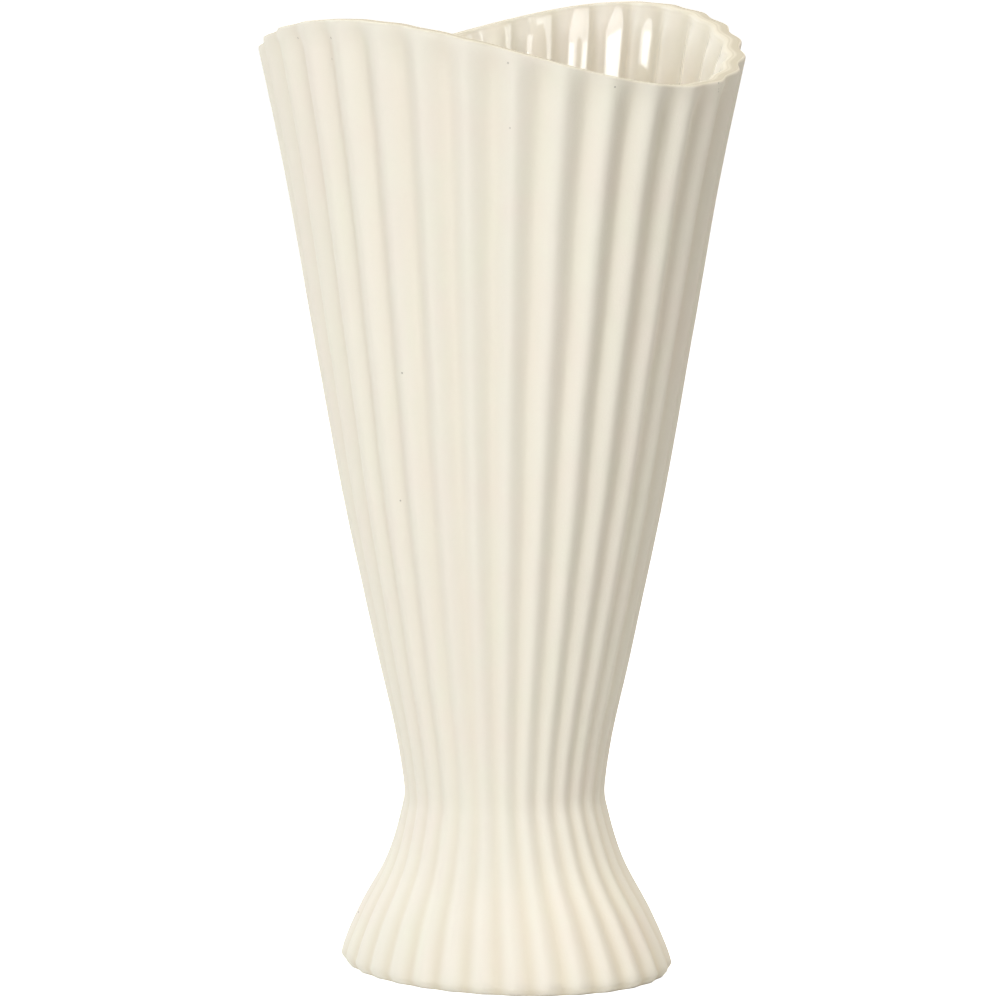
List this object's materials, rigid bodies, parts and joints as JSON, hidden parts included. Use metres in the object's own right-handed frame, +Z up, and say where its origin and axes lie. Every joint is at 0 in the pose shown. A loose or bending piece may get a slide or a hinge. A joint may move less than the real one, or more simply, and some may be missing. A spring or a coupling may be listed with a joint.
{
  "type": "fan vase",
  "caption": "Tall fluted vase: an oval cone with an arched rim on a flared foot, matt stoneware outside and glossy glaze inside.",
  "frame": {"origin": "middle of the foot's underside, on the table", "axes": "+Z up to the rim, +X along the long way of the oval towards a low narrow end of the rim, +Y towards a high broad side"},
  "size_m": [0.1298, 0.1067, 0.24],
  "materials": {
    "stoneware": "matt unglazed cream stoneware",
    "inner_glaze": "glossy clear glaze over cream clay"
  },
  "bodies": {
    "root": {"fan_wall": "stoneware", "foot_wall": "stoneware", "base_slab": "stoneware", "glaze_lining": "inner_glaze"}
  },
  "joints": []
}
